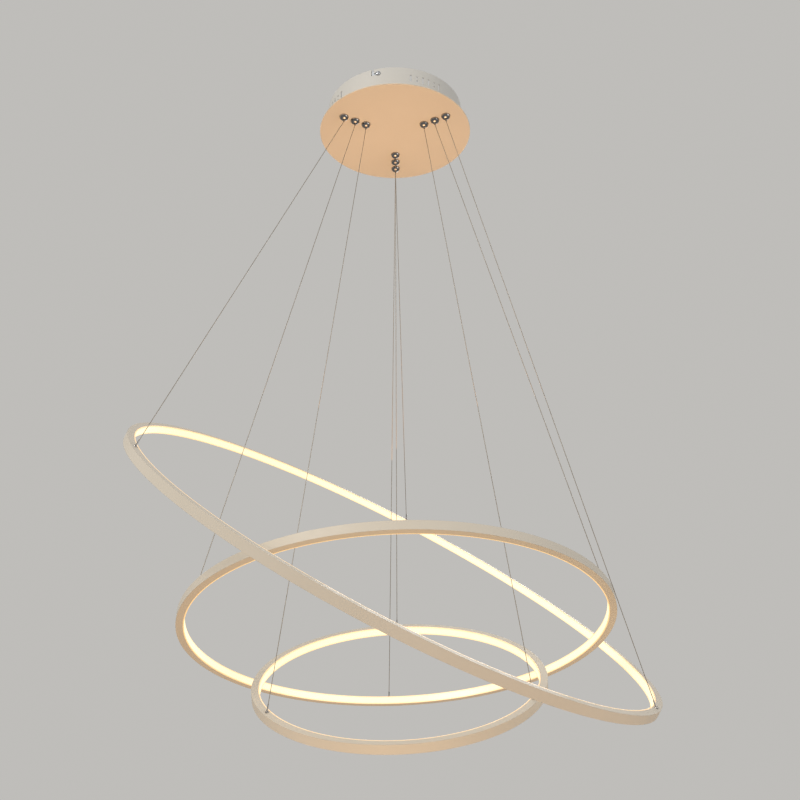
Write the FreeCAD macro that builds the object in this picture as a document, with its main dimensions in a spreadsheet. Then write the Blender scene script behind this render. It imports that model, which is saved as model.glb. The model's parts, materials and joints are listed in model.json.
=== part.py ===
import FreeCAD, Part
import math
import os
import re
import Sketcher

# Pendant light of three tilted light rings under one round canopy. Millimetres, +Z up.
# The origin is the centre of the face that the ceiling bracket puts against the ceiling,
# so the whole light hangs at negative Z. Azimuths are degrees about +Z from +X.

Vector = FreeCAD.Vector
Rotation = FreeCAD.Rotation
Placement = FreeCAD.Placement
UP = Vector(0, 0, 1)

doc = FreeCAD.newDocument("RingChandelier")
sheet = doc.addObject("Spreadsheet::Sheet", "Dims")

SIZES = [
    # canopy
    ("canopy_depth", 45, "ceiling to underside of the bottom disc"),
    ("disc_diameter", 254, "bottom disc"),
    ("disc_thickness", 2, "bottom disc"),
    ("disc_edge_round", 0.8, "rounding of the disc's rim"),
    ("drum_diameter", 226, "canopy wall, outside"),
    ("drum_wall", 1.2, "canopy wall"),
    ("drum_ceiling_gap", 0.5, "canopy wall to ceiling"),
    ("flange_reach", 8.5, "inward flange of the canopy wall, from its outside"),
    ("vent_count", 4, "groups of vents round the wall"),
    ("vent_azimuth", 296.5, "middle of the first group of vents"),
    ("vent_step", 5.25, "degrees from one vent to the next"),
    ("vent_drop", 20, "ceiling to the middle of the vents"),
    ("vent_slot_width", 3.2, "vent slot"),
    ("vent_slot_height", 12.5, "vent slot"),
    ("vent_hole_diameter", 3.4, "round vent"),
    ("vent_hole_spacing", 7.4, "between the two round vents of a pair"),
    ("key_azimuth", 72, "entry leg of the first keyhole slot in the wall"),
    ("key_turn", 4.5, "degrees from entry leg to the screw's seat"),
    ("key_width", 4.6, "keyhole slot"),
    # studs and nuts that hold the wall on the disc
    ("stud_count", 6, "welded studs on the disc"),
    ("stud_inset", 3.6, "canopy wall's inner face to the studs' middles"),
    ("stud_diameter", 3, "welded studs"),
    ("stud_height", 6.5, "welded studs above the disc"),
    ("stud_clearance", 0.2, "radial, studs in their holes and nuts"),
    ("stud_nut_across", 5.5, "flange nuts, across flats"),
    ("stud_nut_height", 2.4, "flange nuts"),
    # ceiling bracket and its side screws
    ("bracket_thickness", 2, "bent strip"),
    ("bracket_width", 24, "bent strip"),
    ("bracket_tab_gap", 1, "bent tab to canopy wall"),
    ("bracket_tab_drop", 17, "ceiling to the tab's end"),
    ("bracket_bend", 3, "outside radius of the strip's bends"),
    ("ceiling_hole_circle", 120, "pitch circle of the two ceiling screw holes"),
    ("ceiling_hole_diameter", 5, "ceiling screw holes"),
    ("cable_hole_diameter", 12, "hole for the supply cable"),
    ("side_screw_drop", 10, "ceiling to the side screws"),
    ("side_screw_diameter", 4, "side screws"),
    ("side_screw_head", 8, "side screws, head diameter"),
    ("side_screw_head_height", 2.6, "side screws"),
    ("side_screw_length", 9, "side screws under the head"),
    ("side_screw_slack", 0.15, "head to canopy wall, and thread in the tab"),
    # drivers, terminal block, earth stud and leads inside the canopy
    ("driver_count", 3, "one driver for each ring"),
    ("driver_azimuth", 30, "middle of the first driver"),
    ("driver_flange_gap", 17.5, "canopy wall's flange to the drivers' outer faces"),
    ("driver_length", 84, "case, tangential"),
    ("driver_width", 34, "case, radial"),
    ("driver_height", 22, "case without its lid"),
    ("driver_wall", 1.5, "case"),
    ("driver_lid", 1.6, "lid"),
    ("driver_ear", 7, "length of the case's screw ears"),
    ("driver_ear_width", 12, "case's screw ears"),
    ("driver_ear_thickness", 2, "case's screw ears"),
    ("driver_screw_diameter", 3, "screws in the ears"),
    ("driver_screw_head", 5.6, "screws in the ears, head diameter"),
    ("driver_screw_head_height", 1.8, "screws in the ears"),
    ("driver_screw_slack", 0.1, "radial, screw in its holes"),
    ("driver_hole_depth", 1.6, "blind holes in the disc for the screws in the ears"),
    ("board_thickness", 1.6, "circuit board"),
    ("board_gap", 0.3, "circuit board to the case"),
    ("board_lift", 3, "circuit board above the case's floor"),
    ("block_length", 34, "terminal block"),
    ("block_width", 18, "terminal block"),
    ("block_height", 16, "terminal block"),
    ("block_pole_step", 10, "between poles of the terminal block"),
    ("block_entry_diameter", 4.4, "wire entries of the terminal block"),
    ("block_screw_diameter", 4, "screw shafts of the terminal block"),
    ("earth_azimuth", 72, "earth stud"),
    ("earth_radius", 34, "earth stud"),
    ("earth_diameter", 4, "earth stud"),
    ("earth_height", 12, "earth stud"),
    ("earth_nut_across", 7, "earth nut"),
    ("earth_nut_height", 3.2, "earth nut"),
    ("earth_washer_diameter", 9, "earth washer"),
    ("earth_washer_thickness", 0.8, "earth washer"),
    ("supply_lead_diameter", 1.9, "leads from terminal block to drivers"),
    ("supply_lead_spread", 6, "between the two leads of a driver"),
    ("output_lead_diameter", 1.6, "leads from drivers to the wire grips"),
    # wire grips: a domed body screwed through the disc, a plunger, balls and a spring in it
    ("grip_azimuth", 90, "first row of wire grips"),
    ("grip_row_count", 3, "rows of wire grips"),
    ("grip_inset", 7.7, "canopy wall's flange to the outermost grips' middles"),
    ("grip_step", 20.4, "between grips in a row"),
    ("grip_dome_diameter", 15.5, "domed foot of a grip"),
    ("grip_dome_height", 6.5, "domed foot of a grip"),
    ("grip_dome_curve", 7, "curve radius of the dome"),
    ("grip_stem_diameter", 8, "threaded stem of a grip"),
    ("grip_stem_height", 18, "stem above the disc's underside"),
    ("grip_stem_slack", 0.1, "radial, stem in the disc and nut"),
    ("grip_nut_across", 11, "grip nut"),
    ("grip_nut_height", 4, "grip nut"),
    ("grip_chamber_diameter", 6.4, "spring chamber in the stem"),
    ("grip_cap_thickness", 1.5, "closed top of the stem"),
    ("grip_cap_hole", 1.8, "wire hole in the closed top"),
    ("taper_top", 1.5, "top of the gripping taper above the disc's underside"),
    ("taper_bottom", 4.5, "bottom of the gripping taper below the disc's underside"),
    ("taper_small_diameter", 4.4, "narrow end of the taper"),
    ("nib_diameter", 2.6, "part of the plunger that shows"),
    ("nib_slack", 0.06, "radial, nib in the dome's hole"),
    ("nib_reach", 3, "nib below the dome"),
    ("plunger_bore", 1.4, "wire hole through the plunger"),
    ("cage_diameter", 4, "ball cage on the plunger"),
    ("cage_gap", 0.1, "ball cage to the chamber's floor"),
    ("cage_top", 3, "ball cage's top above the disc's underside"),
    ("collar_diameter", 5.8, "spring collar on the plunger"),
    ("collar_height", 1, "spring collar on the plunger"),
    ("ball_count", 3, "gripping balls in a cage"),
    ("ball_diameter", 1.8, "gripping ball"),
    ("ball_drop", 3.1, "balls below the disc's underside"),
    ("ball_gap", 0.05, "ball to wire and to its window"),
    ("spring_mean_diameter", 4.8, "plunger spring"),
    ("spring_wire_diameter", 0.5, "plunger spring"),
    ("spring_turns", 5, "plunger spring"),
    ("spring_run_count", 12, "straight runs that make up one turn of the spring"),
    ("spring_end_gap", 0.05, "spring to the collar and to the cap"),
    ("tail_height", 5, "cut end of a suspension wire above its grip"),
    # suspension wires and their ends on the rings
    ("wire_diameter", 1, "suspension wire"),
    ("wire_exit_gap", 0.4, "straight stretch of the wire to the nib"),
    ("ferrule_diameter", 1.8, "crimped sleeve at a wire's lower end"),
    ("ferrule_length", 8, "crimped sleeve"),
    ("ferrule_seat", 1.5, "anchor's centre to the sleeve's end"),
    ("ferrule_gap", 0.06, "sleeve in the anchor's hole"),
    ("anchor_diameter", 4.8, "domed anchor on a ring's top face"),
    ("anchor_neck_diameter", 2.8, "anchor through the ring's top wall"),
    ("anchor_neck_slack", 0.08, "radial, anchor's neck in the ring's hole"),
    ("anchor_nut_diameter", 4.6, "anchor's nut inside the ring"),
    ("anchor_nut_height", 1.5, "anchor's nut inside the ring"),
    ("anchor_gap", 0.05, "anchor's dome and nut to the ring's wall"),
    ("anchor_bore", 1.2, "conductor hole through an anchor"),
    # section that all three rings share
    ("ring_height", 12, "ring, along its own axis"),
    ("ring_width", 11, "ring, radial"),
    ("ring_wall", 1.2, "walls of the ring's channel"),
    ("diffuser_band", 1.5, "thickness of the diffuser that shows"),
    ("diffuser_gap", 0.1, "diffuser to the channel"),
    ("diffuser_leg", 1.6, "reach of the diffuser's clip legs into the channel"),
    ("diffuser_leg_thickness", 0.8, "diffuser's clip legs"),
    ("strip_height", 8, "light strip"),
    ("strip_thickness", 0.8, "light strip"),
    ("strip_gap", 0.05, "light strip to the channel's web"),
    # large ring
    ("large_diameter", 800, "outside"),
    ("large_drop", 722.4, "canopy underside to the ring's centre"),
    ("large_shift_x", -6, "ring's centre from the canopy's axis"),
    ("large_shift_y", -15.5, "ring's centre from the canopy's axis"),
    ("large_tilt", 34.3, "degrees from level"),
    ("large_high", 144.8, "azimuth of the ring's highest point"),
    ("large_anchor_a", 92.4, "azimuth of the first wire's anchor round the ring"),
    ("large_anchor_b", 212.5, "second wire's anchor"),
    ("large_anchor_c", 340.5, "third wire's anchor"),
    # medium ring
    ("medium_diameter", 600, "outside"),
    ("medium_drop", 821.3, "canopy underside to the ring's centre"),
    ("medium_shift_x", -1.8, "ring's centre from the canopy's axis"),
    ("medium_shift_y", 7.4, "ring's centre from the canopy's axis"),
    ("medium_tilt", 15.7, "degrees from level"),
    ("medium_high", 276.5, "azimuth of the ring's highest point"),
    ("medium_anchor_a", 93.3, "azimuth of the first wire's anchor round the ring"),
    ("medium_anchor_b", 213.3, "second wire's anchor"),
    ("medium_anchor_c", 333.3, "third wire's anchor"),
    # small ring
    ("small_diameter", 400, "outside"),
    ("small_drop", 886.4, "canopy underside to the ring's centre"),
    ("small_shift_x", 0.6, "ring's centre from the canopy's axis"),
    ("small_shift_y", 11.1, "ring's centre from the canopy's axis"),
    ("small_tilt", 26.8, "degrees from level"),
    ("small_high", 85.6, "azimuth of the ring's highest point"),
    ("small_anchor_a", 90.6, "azimuth of the first wire's anchor round the ring"),
    ("small_anchor_b", 210.6, "second wire's anchor"),
    ("small_anchor_c", 330.6, "third wire's anchor"),
]
NAMES = {alias for alias, value, note in SIZES}
SIDES = ("far", "left", "right")
RINGS = ("large", "medium", "small")
TURN = 360.0

for row, (alias, value, note) in enumerate(SIZES, start=1):
    sheet.set(f"A{row}", note)
    sheet.set(f"B{row}", str(value))
    sheet.setAlias(f"B{row}", alias)
doc.recompute()

nodes = {}


def linked(text):
    """Text of an expression with every size's name pointing at the sheet."""
    return re.sub(r"[a-z][a-z_]*", lambda m: f"Dims.{m[0]}" if m[0] in NAMES else m[0], text)


probe = doc.addObject("Part::Feature", "Probe")


def size(text):
    """Present value of an expression in the sheet's names."""
    return float(probe.evalExpression(linked(text)))


def bind(obj, **sizes):
    for name, text in sizes.items():
        obj.setExpression(name, linked(text))
    return obj


def polar(radius, azimuth, height=0.0):
    angle = math.radians(azimuth)
    return Vector(radius * math.cos(angle), radius * math.sin(angle), height)


def about_z(azimuth):
    return Rotation(UP, azimuth)


def box(name, length, width, height, low, turn=0.0):
    """Block whose lowest corner is at low, then turned about the Z axis."""
    obj = bind(doc.addObject("Part::Box", name), Length=length, Width=width, Height=height)
    corner = Vector(*(size(text) for text in low))
    obj.Placement = Placement(Vector(), about_z(turn)).multiply(Placement(corner, Rotation()))
    return obj


def rod(name, diameter, length, start, direction=UP):
    obj = bind(doc.addObject("Part::Cylinder", name), Radius=f"({diameter}) / 2", Height=length)
    obj.Placement = Placement(start, Rotation(UP, direction))
    return obj


def hexagon(name, across, height, start):
    obj = doc.addObject("Part::Prism", name)
    obj.Polygon = 6
    bind(obj, Circumradius=f"{across} / 2 / cos(30)", Height=height)
    obj.Placement = Placement(start, Rotation())
    return obj


def joined(name, parts):
    obj = doc.addObject("Part::MultiFuse", name)
    obj.Shapes = parts
    return obj


def together(name, parts):
    obj = doc.addObject("Part::Compound", name)
    obj.Links = parts
    return obj


def cut(name, base, tools):
    obj = doc.addObject("Part::Cut", name)
    obj.Base = base
    obj.Tool = tools[0] if len(tools) == 1 else together(f"{name}_tools", tools)
    return obj


def profile(body, name, role, corners):
    """Closed outline through corners (x, y) or (x, y, radius), anticlockwise.

    A corner with a radius is reached along an arc that bulges outwards.
    """
    sketch = body.newObject("Sketcher::SketchObject", name)
    plane = [item for item in body.Origin.OriginFeatures if item.Role == role][0]
    sketch.AttachmentSupport = (plane, [""])
    sketch.MapMode = "FlatFace"
    points = [Vector(size(corner[0]), size(corner[1]), 0) for corner in corners]
    count = len(corners)
    for index in range(count):
        here = points[index]
        there = points[(index + 1) % count]
        bend = corners[(index + 1) % count]
        if len(bend) == 3:
            sketch.addGeometry(arc_between(here, there, size(bend[2])), False)
        else:
            sketch.addGeometry(Part.LineSegment(here, there), False)
    for index, corner in enumerate(corners):
        following = (index + 1) % count
        sketch.addConstraint(Sketcher.Constraint("Coincident", index, 2, following, 1))
        for kind, text in (("DistanceX", corner[0]), ("DistanceY", corner[1])):
            number = sketch.addConstraint(Sketcher.Constraint(kind, -1, 1, index, 1, size(text)))
            sketch.setExpression(f"Constraints[{number}]", linked(text))
        if len(corners[following]) == 3:
            radius = corners[following][2]
            number = sketch.addConstraint(Sketcher.Constraint("Radius", index, size(radius)))
            sketch.setExpression(f"Constraints[{number}]", linked(radius))
    return sketch


def arc_between(start, end, radius):
    """Arc from start to end, anticlockwise about its centre."""
    middle = (start + end) * 0.5
    chord = end - start
    rise = math.sqrt(radius ** 2 - (chord.Length / 2) ** 2)
    centre = middle + Vector(-chord.y, chord.x, 0).normalize() * rise
    first = math.atan2(start.y - centre.y, start.x - centre.x)
    last = math.atan2(end.y - centre.y, end.x - centre.x)
    return Part.ArcOfCircle(Part.Circle(centre, UP, radius), first, last)


def turned(name, corners):
    """Solid turned about Z from an outline in radius and height."""
    body = doc.addObject("PartDesign::Body", name)
    sketch = profile(body, f"{name}_outline", "XZ_Plane", corners)
    turning = body.newObject("PartDesign::Revolution", f"{name}_turning")
    turning.Profile = sketch
    turning.ReferenceAxis = (sketch, ["V_Axis"])
    turning.Angle = TURN
    sketch.Visibility = False
    return body


def folded(name, corners, width):
    """Strip of an outline in X and Z, as wide along Y as stated, half to each side."""
    body = doc.addObject("PartDesign::Body", name)
    sketch = profile(body, f"{name}_outline", "XZ_Plane", corners)
    pad = body.newObject("PartDesign::Pad", f"{name}_pad")
    pad.Profile = sketch
    pad.Midplane = True
    bind(pad, Length=width)
    return body


def shaped(name, shape, placement=None):
    obj = doc.addObject("Part::Feature", name)
    obj.Shape = shape
    if placement is not None:
        obj.Placement = placement
    return obj


def copies(name, source, placements):
    """One node of identical pieces, a separate solid at each placement."""
    doc.recompute()
    pieces = []
    for placement in placements:
        piece = source.Shape.copy()
        piece.Placement = placement.multiply(piece.Placement)
        pieces.append(piece)
    return shaped(name, Part.makeCompound(pieces))


def keep(name, obj):
    obj.Label = name
    nodes[name] = obj
    return obj


def tube(points, diameter):
    """Lead along straight runs joined by tangent arcs as large as the runs allow."""
    share = 0.45
    edges = []
    start = points[0]
    for index in range(1, len(points) - 1):
        corner = points[index]
        back = points[index - 1] - corner
        on = points[index + 1] - corner
        half_turn = (math.pi - back.getAngle(on)) / 2
        reach = share * min(back.Length, on.Length)
        entry = corner + Vector(back).normalize() * reach
        leave = corner + Vector(on).normalize() * reach
        radius = reach / math.tan(half_turn)
        inward = (Vector(back).normalize() + Vector(on).normalize()).normalize()
        crown = corner + inward * (radius / math.cos(half_turn) - radius)
        edges.append(Part.LineSegment(start, entry).toShape())
        edges.append(Part.Arc(entry, crown, leave).toShape())
        start = leave
    edges.append(Part.LineSegment(start, points[-1]).toShape())
    path = Part.Wire(edges)
    section = Part.Wire(Part.Circle(points[0], points[1] - points[0], diameter / 2).toShape())
    return path.makePipeShell([section], True, False)


# ---- places that several pieces share -------------------------------------------------

UNDERSIDE = -size("canopy_depth")
DISC_TOP = size("disc_thickness - canopy_depth")
STUD_RADIUS = size("drum_diameter / 2 - drum_wall - stud_inset")
DRIVER_RADIUS = size("drum_diameter / 2 - flange_reach - driver_flange_gap - driver_width / 2")
ROW_AZIMUTHS = [
    size("grip_azimuth") + number * TURN / size("grip_row_count")
    for number in range(int(size("grip_row_count")))
]


def grip_radius(ring):
    """Canopy's axis to a ring's grips. The large ring's are the outermost of each row."""
    inward = RINGS.index(ring)
    return size(f"drum_diameter / 2 - flange_reach - grip_inset - {inward} * grip_step")


def grip_place(ring, row):
    """Point on the disc's underside where the grip of a ring's wire sits."""
    return polar(grip_radius(ring), ROW_AZIMUTHS[row], UNDERSIDE)


GRIPS = [(ring, row, grip_place(ring, row)) for ring in RINGS for row in range(len(ROW_AZIMUTHS))]


def ring_place(ring):
    high = math.radians(size(f"{ring}_high"))
    axis = Vector(math.sin(high), -math.cos(high), 0)
    centre = Vector(
        size(f"{ring}_shift_x"),
        size(f"{ring}_shift_y"),
        size(f"-canopy_depth - {ring}_drop"),
    )
    return Placement(centre, Rotation(axis, size(f"{ring}_tilt")))


def anchor_local(ring, row):
    """Middle of an anchor's seat on the ring's top face, in the ring's own frame."""
    azimuth = size(f"{ring}_anchor_{'abc'[row]}")
    return polar(size(f"{ring}_diameter / 2 - ring_width / 2"), azimuth, size("ring_height / 2"))


def wire_ends(ring, row):
    """Anchor's seat, nib's mouth and the direction from the first to the second."""
    seat = ring_place(ring).multVec(anchor_local(ring, row))
    mouth = grip_place(ring, row) - UP * size("grip_dome_height + nib_reach")
    return seat, mouth, (mouth - seat).normalize()


# ---- canopy ---------------------------------------------------------------------------


def canopy_plate():
    body = doc.addObject("PartDesign::Body", "plate_blank")
    sketch = body.newObject("Sketcher::SketchObject", "plate_outline")
    plane = [item for item in body.Origin.OriginFeatures if item.Role == "XY_Plane"][0]
    sketch.AttachmentSupport = (plane, [""])
    sketch.MapMode = "FlatFace"
    sketch.addGeometry(Part.Circle(Vector(), UP, size("disc_diameter / 2")), False)
    sketch.addConstraint(Sketcher.Constraint("Coincident", 0, 3, -1, 1))
    number = sketch.addConstraint(Sketcher.Constraint("Radius", 0, size("disc_diameter / 2")))
    sketch.setExpression(f"Constraints[{number}]", linked("disc_diameter / 2"))
    pad = body.newObject("PartDesign::Pad", "plate_pad")
    pad.Profile = sketch
    bind(pad, Length="disc_thickness")
    doc.recompute()
    rims = [
        f"Edge{index}"
        for index, edge in enumerate(pad.Shape.Edges, start=1)
        if isinstance(edge.Curve, Part.Circle)
    ]
    rounding = body.newObject("PartDesign::Fillet", "plate_rounding")
    rounding.Base = (pad, rims)
    bind(rounding, Radius="disc_edge_round")
    body.Placement = Placement(UP * UNDERSIDE, Rotation())
    holes = [
        rod(f"plate_grip_hole_{ring}_{row}", "grip_stem_diameter + 2 * grip_stem_slack",
            "disc_thickness", place)
        for ring, row, place in GRIPS
    ]
    for index, place in enumerate(driver_screw_places()):
        foot = place - UP * size("driver_hole_depth")
        holes.append(rod(f"plate_driver_hole_{index}",
                         "driver_screw_diameter + 2 * driver_screw_slack", "driver_hole_depth",
                         foot))
    bare = cut("plate_drilled", body, holes)
    studs = [
        rod(f"plate_stud_{index}", "stud_diameter", "stud_height", place)
        for index, place in enumerate(stud_places(DISC_TOP))
    ]
    earth = rod("plate_earth_stud", "earth_diameter", "earth_height", earth_place())
    return keep("canopy_plate", joined("canopy_plate", [bare, earth] + studs))


def stud_places(height):
    count = int(size("stud_count"))
    return [polar(STUD_RADIUS, n * TURN / count, height) for n in range(count)]


def earth_place():
    return polar(size("earth_radius"), size("earth_azimuth"), DISC_TOP)


def canopy_drum():
    wall = turned("drum_wall_ring", [
        ("drum_diameter / 2 - flange_reach", "disc_thickness - canopy_depth"),
        ("drum_diameter / 2", "disc_thickness - canopy_depth"),
        ("drum_diameter / 2", "-drum_ceiling_gap"),
        ("drum_diameter / 2 - drum_wall", "-drum_ceiling_gap"),
        ("drum_diameter / 2 - drum_wall", "disc_thickness - canopy_depth + drum_wall"),
        ("drum_diameter / 2 - flange_reach", "disc_thickness - canopy_depth + drum_wall"),
    ])
    tools = []
    count = int(size("vent_count"))
    for group in range(count):
        middle = size("vent_azimuth") + group * TURN / count
        tools += vent_tools(group, middle)
    for side in range(2):
        tools += key_tools(side, size("key_azimuth") + side * TURN / 2)
    for index, place in enumerate(stud_places(DISC_TOP)):
        tools.append(rod(f"drum_stud_hole_{index}", "stud_diameter + 2 * stud_clearance",
                         "drum_wall", place))
    return keep("canopy_drum", cut("canopy_drum", wall, tools))


def vent_tools(group, middle):
    """Cutters of one group of vents: slot, pair, slot, slot, pair, slot."""
    tools = []
    pattern = "slot pair slot slot pair slot".split()
    for index, kind in enumerate(pattern):
        azimuth = middle + (index - (len(pattern) - 1) / 2) * size("vent_step")
        name = f"vent_{group}_{index}"
        if kind == "slot":
            low = ("drum_diameter / 2 - 2 * drum_wall", "-vent_slot_width / 2",
                   "-vent_drop - vent_slot_height / 2")
            tools.append(box(name, "3 * drum_wall", "vent_slot_width", "vent_slot_height",
                             low, azimuth))
        else:
            for step in (-1, 1):
                height = size(f"{step} * vent_hole_spacing / 2 - vent_drop")
                start = polar(size("drum_diameter / 2 - 2 * drum_wall"), azimuth, height)
                tools.append(rod(f"{name}_{step + 1}", "vent_hole_diameter", "3 * drum_wall",
                                 start, polar(1, azimuth)))
    return tools


def key_tools(side, azimuth):
    """Cutters of one keyhole slot: an entry leg from the top and a leg to the screw's seat."""
    leg_low = ("drum_diameter / 2 - 2 * drum_wall", "-key_width / 2",
               "-side_screw_drop - key_width / 2")
    leg = box(f"key_entry_{side}", "3 * drum_wall", "key_width", "side_screw_drop + key_width",
              leg_low, azimuth)
    seat_low = ("drum_diameter / 2 - 2 * drum_wall", "0", "-side_screw_drop - key_width / 2")
    seat = box(f"key_seat_{side}", "3 * drum_wall",
               "drum_diameter / 2 * sin(key_turn)", "key_width", seat_low, azimuth)
    end = rod(f"key_end_{side}", "key_width", "3 * drum_wall",
              polar(size("drum_diameter / 2 - 2 * drum_wall"), azimuth + size("key_turn"),
                    size("-side_screw_drop")),
              polar(1, azimuth + size("key_turn")))
    return [leg, seat, end]


def flange_nuts():
    blank = hexagon("stud_nut_blank", "stud_nut_across", "stud_nut_height", Vector())
    hole = rod("stud_nut_hole", "stud_diameter + 2 * stud_clearance", "stud_nut_height", Vector())
    nut = cut("stud_nut", blank, [hole])
    height = size("disc_thickness - canopy_depth + drum_wall")
    places = [Placement(place, Rotation()) for place in stud_places(height)]
    return keep("flange_nuts", copies("flange_nuts", nut, places))


def ceiling_bracket():
    """Bent strip: a bar along X under the ceiling and a tab down at each end."""
    outer = "(drum_diameter / 2 - drum_wall - bracket_tab_gap)"
    inner = "(drum_diameter / 2 - drum_wall - bracket_tab_gap - bracket_thickness)"
    bar = folded("bracket_strip", [
        (f"-{outer}", "-bracket_tab_drop"),
        (f"-{inner}", "-bracket_tab_drop"),
        (f"-{inner}", "-bracket_thickness"),
        (inner, "-bracket_thickness"),
        (inner, "-bracket_tab_drop"),
        (outer, "-bracket_tab_drop"),
        (outer, "-bracket_bend"),
        (f"{outer} - bracket_bend", "0", "bracket_bend"),
        (f"bracket_bend - {outer}", "0"),
        (f"-{outer}", "-bracket_bend", "bracket_bend"),
    ], "bracket_width")
    under = size("-bracket_thickness")
    tools = [rod("cable_hole", "cable_hole_diameter", "bracket_thickness", UP * under)]
    for side in (-1, 1):
        place = Vector(side * size("ceiling_hole_circle / 2"), 0, under)
        tools.append(rod(f"ceiling_hole_{side + 1}", "ceiling_hole_diameter",
                         "bracket_thickness", place))
        start = Vector(side * size(inner) - side * size("bracket_thickness"), 0,
                       size("-side_screw_drop"))
        tools.append(rod(f"side_hole_{side + 1}", "side_screw_diameter + 2 * side_screw_slack",
                         "3 * bracket_thickness", start, Vector(side, 0, 0)))
    bracket = cut("ceiling_bracket", bar, tools)
    bracket.Placement = Placement(Vector(), about_z(size("key_azimuth + key_turn")))
    return keep("ceiling_bracket", bracket)


def drum_screws():
    """Two pan-head screws through the keyhole slots into the bracket's tabs."""
    blank = turned("side_screw_blank", [
        ("side_screw_diameter / 8", "-side_screw_length"),
        ("side_screw_diameter / 2", "-side_screw_length"),
        ("side_screw_diameter / 2", "0"),
        ("side_screw_head / 2", "0"),
        ("side_screw_head / 2", "side_screw_head_height / 2"),
        ("side_screw_head / 4", "side_screw_head_height", "side_screw_head / 2"),
        ("side_screw_diameter / 8", "side_screw_head_height"),
    ])
    core = rod("side_screw_core", "side_screw_diameter / 4",
               "side_screw_length + side_screw_head_height / 2", UP * -size("side_screw_length"))
    slot = box("side_screw_slot", "side_screw_head", "side_screw_head / 8",
               "side_screw_head_height",
               ("-side_screw_head / 2", "-side_screw_head / 16", "side_screw_head_height / 2"))
    screw = cut("side_screw", joined("side_screw_solid", [blank, core]), [slot])
    azimuth = size("key_azimuth + key_turn")
    places = []
    for turn in (azimuth, azimuth + TURN / 2):
        seat = polar(size("drum_diameter / 2 + side_screw_slack"), turn, size("-side_screw_drop"))
        places.append(Placement(seat, Rotation(UP, polar(1, turn))))
    return keep("drum_screws", copies("drum_screws", screw, places))


# ---- inside the canopy ----------------------------------------------------------------


def driver_places():
    """Placement of each driver: X outwards, Y tangential, Z from the disc's top."""
    count = int(size("driver_count"))
    azimuths = [size("driver_azimuth") + n * TURN / count for n in range(count)]
    return [
        Placement(polar(DRIVER_RADIUS, azimuth, DISC_TOP), about_z(azimuth))
        for azimuth in azimuths
    ]


def driver_screw_places():
    """Middle of each ear's screw hole, on the disc's top."""
    reach = size("driver_length / 2 + driver_ear / 2")
    return [
        place.multVec(Vector(0, side * reach, 0)) for place in driver_places() for side in (-1, 1)
    ]


def driver_case_source():
    outside = box("case_outside", "driver_width", "driver_length", "driver_height",
                  ("-driver_width / 2", "-driver_length / 2", "0"))
    inside = box("case_inside", "driver_width - 2 * driver_wall",
                 "driver_length - 2 * driver_wall", "driver_height",
                 ("driver_wall - driver_width / 2", "driver_wall - driver_length / 2",
                  "driver_wall"))
    ears = box("case_ears", "driver_ear_width", "driver_length + 2 * driver_ear",
               "driver_ear_thickness",
               ("-driver_ear_width / 2", "-driver_length / 2 - driver_ear", "0"))
    holes = []
    for side in (-1, 1):
        foot = Vector(0, side * size("driver_length / 2 + driver_ear / 2"), 0)
        holes.append(rod(f"case_hole_{side + 1}", "driver_screw_diameter + 2 * driver_screw_slack",
                         "driver_ear_thickness", foot))
    return cut("driver_case_blank", joined("case_solid", [outside, ears]), [inside] + holes)


def drivers():
    places = driver_places()
    case = driver_case_source()
    for ring, place in zip(RINGS, places):
        keep(f"driver_case_{ring}", copies(f"driver_case_{ring}", case, [place]))
    lid_plate = box("lid_plate", "driver_width", "driver_length", "driver_lid",
                    ("-driver_width / 2", "-driver_length / 2", "driver_height"))
    lid_rib = box("lid_rib", "driver_width - 2 * driver_wall - 2 * board_gap",
                  "driver_length - 2 * driver_wall - 2 * board_gap", "driver_lid",
                  ("driver_wall + board_gap - driver_width / 2",
                   "driver_wall + board_gap - driver_length / 2", "driver_height - driver_lid"))
    keep("driver_lids", copies("driver_lids", joined("driver_lid", [lid_plate, lid_rib]), places))
    keep("driver_boards", copies("driver_boards", driver_board_source(), places))
    keep("driver_screws", copies("driver_screws", driver_screw_source(), [
        Placement(place + UP * size("driver_ear_thickness"), Rotation())
        for place in driver_screw_places()
    ]))


def driver_board_source():
    """Circuit board with a transformer and two capacitors, standing on four feet."""
    room_x = "driver_width - 2 * driver_wall - 2 * board_gap"
    room_y = "driver_length - 2 * driver_wall - 2 * board_gap"
    floor = "driver_wall + board_lift"
    board = box("board", room_x, room_y, "board_thickness",
                (f"-({room_x}) / 2", f"-({room_y}) / 2", floor))
    core = box("transformer", f"({room_x}) * 0.7", f"({room_y}) * 0.3", "driver_height / 2",
               (f"-({room_x}) * 0.35", f"-({room_y}) * 0.15", f"{floor} + board_thickness"))
    parts = [board, core]
    top = size(f"{floor} + board_thickness")
    for side in (-1, 1):
        place = Vector(0, side * size(f"({room_y}) * 0.32"), top)
        parts.append(rod(f"capacitor_{side + 1}", "driver_width / 3", "driver_height / 2", place))
        for edge in (-1, 1):
            foot = Vector(edge * size(f"({room_x}) / 2 - driver_wall"),
                          side * size(f"({room_y}) / 2 - driver_wall"), size("driver_wall"))
            parts.append(rod(f"board_foot_{side + 1}_{edge + 1}", "2 * driver_wall",
                             "board_lift", foot))
    return joined("driver_board", parts)


def driver_screw_source():
    head = rod("ear_screw_head", "driver_screw_head", "driver_screw_head_height", Vector())
    shank = rod("ear_screw_shank", "driver_screw_diameter",
                "driver_ear_thickness + disc_thickness * 0.75",
                UP * -size("driver_ear_thickness + disc_thickness * 0.75"))
    slot = box("ear_screw_slot", "driver_screw_head", "driver_screw_head / 8",
               "driver_screw_head_height",
               ("-driver_screw_head / 2", "-driver_screw_head / 16",
                "driver_screw_head_height / 2"))
    return cut("ear_screw", joined("ear_screw_solid", [head, shank]), [slot])


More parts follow.
